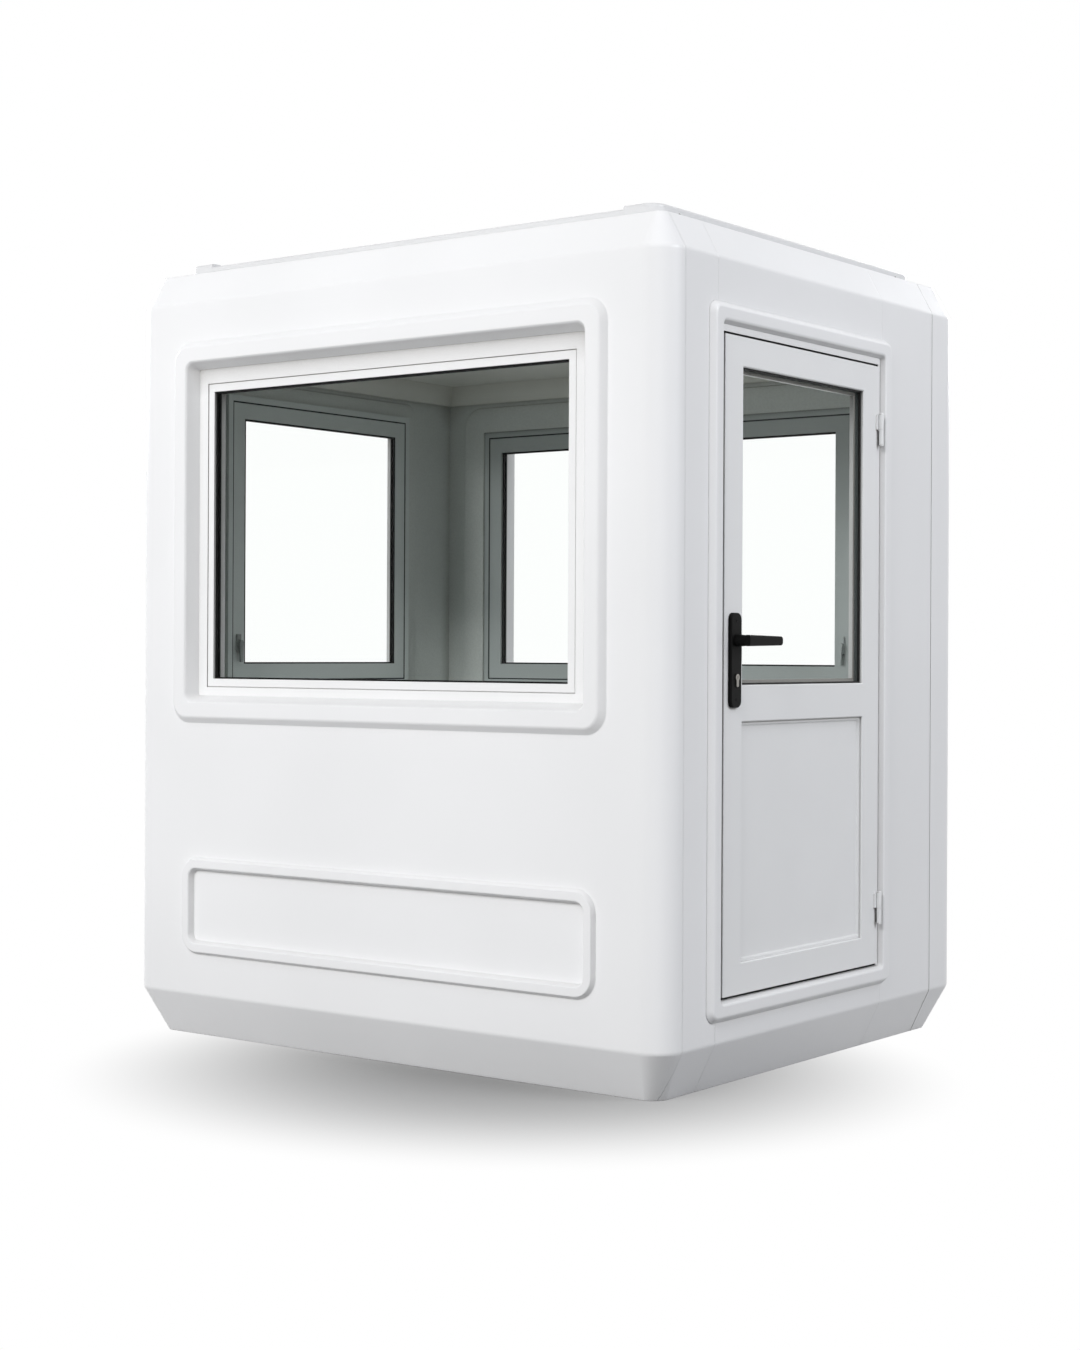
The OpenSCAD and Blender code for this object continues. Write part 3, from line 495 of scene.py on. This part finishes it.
def skin(bm, rows, flip=False):
    """Closed skin over rings of vertices, from the first ring to the last."""
    faces = []
    for a, b in zip(rows, rows[1:]):
        for i in range(len(a)):
            j = (i + 1) % len(a)
            faces.append((a[i], a[j], b[j], b[i]))
    faces += [rows[-1], rows[0][::-1]]
    for face in faces:
        bm.faces.new(face[::-1] if flip else face)


def screw(bm, at, out, r, up):
    """Domed screw head with a cross recess, standing on a face with normal out."""
    turn = Vector((0, 0, 1)).rotation_difference(Vector(out)).to_matrix().to_4x4()
    place = Matrix.Translation(at) @ turn
    rows = [ring(bm, place, [r * share] * SCREW_SIDES, up * rise) for share, rise in SCREW_RINGS]
    arms = [ARM if i % ARM_STEP in ARM_SIDES else NOTCH for i in range(SCREW_SIDES)]
    cross = [r * RECESS * arm for arm in arms]
    rows += [ring(bm, place, cross, up * rise) for rise in RECESS_RISES]
    skin(bm, rows)


def cap(bm, at, r, h, up):
    """Rounded end cap on a hinge barrel, pointing up (1) or down (-1)."""
    place = Matrix.Translation(at)
    rows = [ring(bm, place, [r * share] * CAP_SIDES, h * rise * up) for share, rise in CAP_RINGS]
    skin(bm, rows, flip=up < 0)


def seal_strip(bm, lo, hi, axis, at, out):
    """Rounded strip round the rectangle lo to hi, lying on a face with its normal along axis."""
    a, b = [i for i in range(3) if i != axis]
    rows = []
    for sa, sb in ((0, 0), (1, 0), (1, 1), (0, 1)):
        row = []
        for across, rise in SEAL_SECTION:
            inset = SEAL_W * across
            p = [0.0, 0.0, 0.0]
            p[a] = hi[a] - inset if sa else lo[a] + inset
            p[b] = hi[b] - inset if sb else lo[b] + inset
            p[axis] = at + out * (SEAL_H * rise)
            row.append(bm.verts.new(p))
        rows.append(row)
    for r0, r1 in zip(rows, rows[1:] + rows[:1]):
        for j in range(len(r0)):
            m = (j + 1) % len(r0)
            bm.faces.new((r0[j], r0[m], r1[m], r1[j]))
    bmesh.ops.recalc_face_normals(bm, faces=bm.faces)


# Dark seals where a sash meets its frame, inside and outside
for n, axis in (("left_window_sash", 0), ("back_window_sash", 1)):
    lo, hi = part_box(n)
    bm = bmesh.new()
    for at, out in ((lo[axis], -1), (hi[axis], 1)):
        seal_strip(bm, lo, hi, axis, at, out)
    piece(n.replace("sash", "seals"), bm, seal_grey, "booth")

# Rim screws, near the ends of the side rims
for side in (-1, 1):
    lo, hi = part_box("roof_rim_right" if side > 0 else "roof_rim_left")
    bm = bmesh.new()
    face = hi.x if side > 0 else lo.x
    for y in (lo.y + RIM_SCREW_END, hi.y - RIM_SCREW_END):
        at = (face, y, lo.z + RIM_SCREW_Z)
        screw(bm, at, (side, 0, 0), RIM_SCREW_R, RIM_SCREW_H)
    piece("rim_screws_" + ("right" if side > 0 else "left"), bm, nickel, "booth")

# Hinge end caps: the lower ones stay with the booth, the upper ones swing with the door
joints = {j["name"]: j for j in frame["record"]["behaviour"]["joints"]}
hinge_x, hinge_y = joints["door_swing"]["pos_m"][:2]
for n, body, up in (("hinge_pins", "booth", -1), ("hinge_barrels", "door", 1)):
    lo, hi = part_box(n)
    mid = (lo.z + hi.z) / 2
    zs = sorted({round(v.co.z, Z_DIGITS) for v in nodes[n].data.vertices})
    if up < 0:
        ends = [zs[0], min(z for z in zs if z > mid)]
    else:
        ends = [max(z for z in zs if z < mid), zs[-1]]
    bm = bmesh.new()
    for z in ends:
        cap(bm, (hinge_x, hinge_y, z), HINGE_CAP_R, HINGE_CAP_H, up)
    piece("hinge_caps_" + body, bm, leaf_white, body)

# Handle plate screws, on both plates
lo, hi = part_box("handle_plates")
plate_y = (lo.y + hi.y) / 2
bm = bmesh.new()
for x, out in ((hi.x, 1), (lo.x, -1)):
    for z in (lo.z + PLATE_SCREW_END, hi.z - PLATE_SCREW_END):
        screw(bm, (x, plate_y, z), (out, 0, 0), PLATE_SCREW_R, PLATE_SCREW_H)
piece("handle_plate_screws", bm, satin_black, "door")


# Stage, light and camera

FLOOR_R = 30.0
FLOOR_SIDES = 96
FLOOR_DROP = 0.0005
# The floor's tone where it is seen, dim so that near the booth it is a painted shadow, and as a
# source of bounced light
FLOOR_SEEN = rgb(0.205, 0.205, 0.205)
FLOOR_BOUNCE = 0.20
FLOOR_GRAIN = 0.01
# Painted shadow: ellipses, in front of the booth and behind it, in which the floor shows its dim tone
# and the lamps' shadow: middle x and y, half width and half depth; and the squared distance over
# which it fades to white
PAINTED_SHADOW_PATCHES = ((0.33, -0.64, 1.34, 1.28), (-0.45, 0.55, 1.25, 1.2))
FADE_START, FADE_END = -0.3, 1.0

WORLD_TINT = rgb(0.98, 0.99, 1.0)
WORLD_POWER = 0.15

NEUTRAL = (1, 1, 1)
COOL = (0.95, 0.965, 1.0)
FRONT_AIM = (0, -0.8, 1.0)
# Name, place, aim, size, power, colour, and whether it shows in reflections
LAMPS = (
    ("back_top_soft", (0.6, 2.6, 5.6), (0, 0, 0.6), (4.0, 3.5), 10.0, NEUTRAL, True),
    ("front_soft", (-2.4, -7.0, 3.3), FRONT_AIM, (5.0, 1.6), 202.0, NEUTRAL, False),
    ("front_high_soft", (2.5, -10.5, 7.4), FRONT_AIM, (5.0, 2.5), 635.0, NEUTRAL, False),
    ("front_low_soft", (-1.5, -7.0, 0.9), (0, -0.8, 0.8), (5.0, 1.2), 51.0, NEUTRAL, False),
    ("side_soft", (6.5, 0.5, 2.2), (1.0, 0, 1.2), (3.0, 3.0), 36.0, COOL, True),
    ("side_high_soft", (9.5, 0.8, 6.6), (1.0, 0, 1.0), (4.0, 2.5), 505.0, COOL, True),
    ("back_soft", (-1.0, 9.5, 4.6), (0, 0.8, 1.1), (5.0, 3.0), 360.0, NEUTRAL, True),
    ("left_soft", (-9.5, 1.2, 4.6), (-1.0, 0, 1.1), (4.0, 3.0), 360.0, COOL, True),
)

# The camera was fitted to straight edges in the photograph
CAMERA_AT = (4.250, -5.725, 1.1995)
CAMERA_TURN = (90.0, -0.277, 36.85)
CAMERA_LENS = 59.40
CAMERA_SENSOR = 36.0
CAMERA_SHIFT_Y = -0.0169


def floor_material():
    """Painted shadow near the booth, a dim grey that also takes the lamps' real shadows, glowing
    white farther off; plain grey to bounced light.
    """
    k = Mat("stage_floor")
    seen = k.seen()
    speck = k.noise(scale=30.0, detail=3.0)
    grain = k.spread(speck, FLOOR_BOUNCE - FLOOR_GRAIN, FLOOR_BOUNCE + FLOOR_GRAIN)
    matt = k.node("ShaderNodeBsdfDiffuse")
    k.put(matt.inputs["Color"], k.mix(seen, grain, FLOOR_SEEN))
    glow = k.node("ShaderNodeEmission")
    k.put(glow.inputs["Strength"], seen)
    x, y = k.axes()[:2]
    rings = []
    for x0, y0, rx, ry in PAINTED_SHADOW_PATCHES:
        u = k.math("DIVIDE", k.math("SUBTRACT", x, x0), rx)
        v = k.math("DIVIDE", k.math("SUBTRACT", y, y0), ry)
        rings.append(k.math("ADD", k.math("MULTIPLY", u, u), k.math("MULTIPLY", v, v)))
    far = k.ramp(k.math("MINIMUM", *rings), FADE_START, FADE_END, kind="SMOOTHSTEP")
    k.finish_mixed(k.math("MULTIPLY", far, seen), matt, glow)
    return k.m


def background(k, color, power):
    n = k.node("ShaderNodeBackground")
    n.inputs["Color"].default_value = color
    n.inputs["Strength"].default_value = power
    return n


def studio_world():
    """White where it is seen, and dim as a source of light."""
    world = bpy.data.worlds.new("studio")
    world.use_nodes = True
    k = Nodes(world.node_tree, "ShaderNodeOutputWorld")
    lit = background(k, WORLD_TINT, WORLD_POWER)
    k.finish_mixed(k.seen(), lit, background(k, rgb(1, 1, 1), 1.0))
    return world


def lamp(name, at, aim, size, power, tint, mirrored):
    data = bpy.data.lights.new(name, "AREA")
    data.shape = "RECTANGLE"
    data.size, data.size_y = size
    data.energy = power
    data.color = tint
    o = show(name, data)
    o.location = at
    o.rotation_euler = (Vector(aim) - Vector(at)).to_track_quat("-Z", "Y").to_euler()
    o.visible_camera = False
    o.visible_glossy = mirrored


bm = bmesh.new()
bmesh.ops.create_circle(bm, cap_ends=True, segments=FLOOR_SIDES, radius=FLOOR_R)
floor = mesh_object("stage_floor", bm, floor_material())
floor.location.z = -FLOOR_DROP

for row in LAMPS:
    lamp(*row)

cam_data = bpy.data.cameras.new("camera")
cam_data.sensor_width = CAMERA_SENSOR
cam_data.sensor_height = CAMERA_SENSOR
cam_data.sensor_fit = "AUTO"
cam_data.lens = CAMERA_LENS
cam_data.shift_y = CAMERA_SHIFT_Y
cam = show("camera", cam_data)
cam.location = CAMERA_AT
cam.rotation_euler = [math.radians(a) for a in CAMERA_TURN]

scene = bpy.context.scene
scene.world = studio_world()
scene.camera = cam
scene.view_settings.view_transform = "Standard"
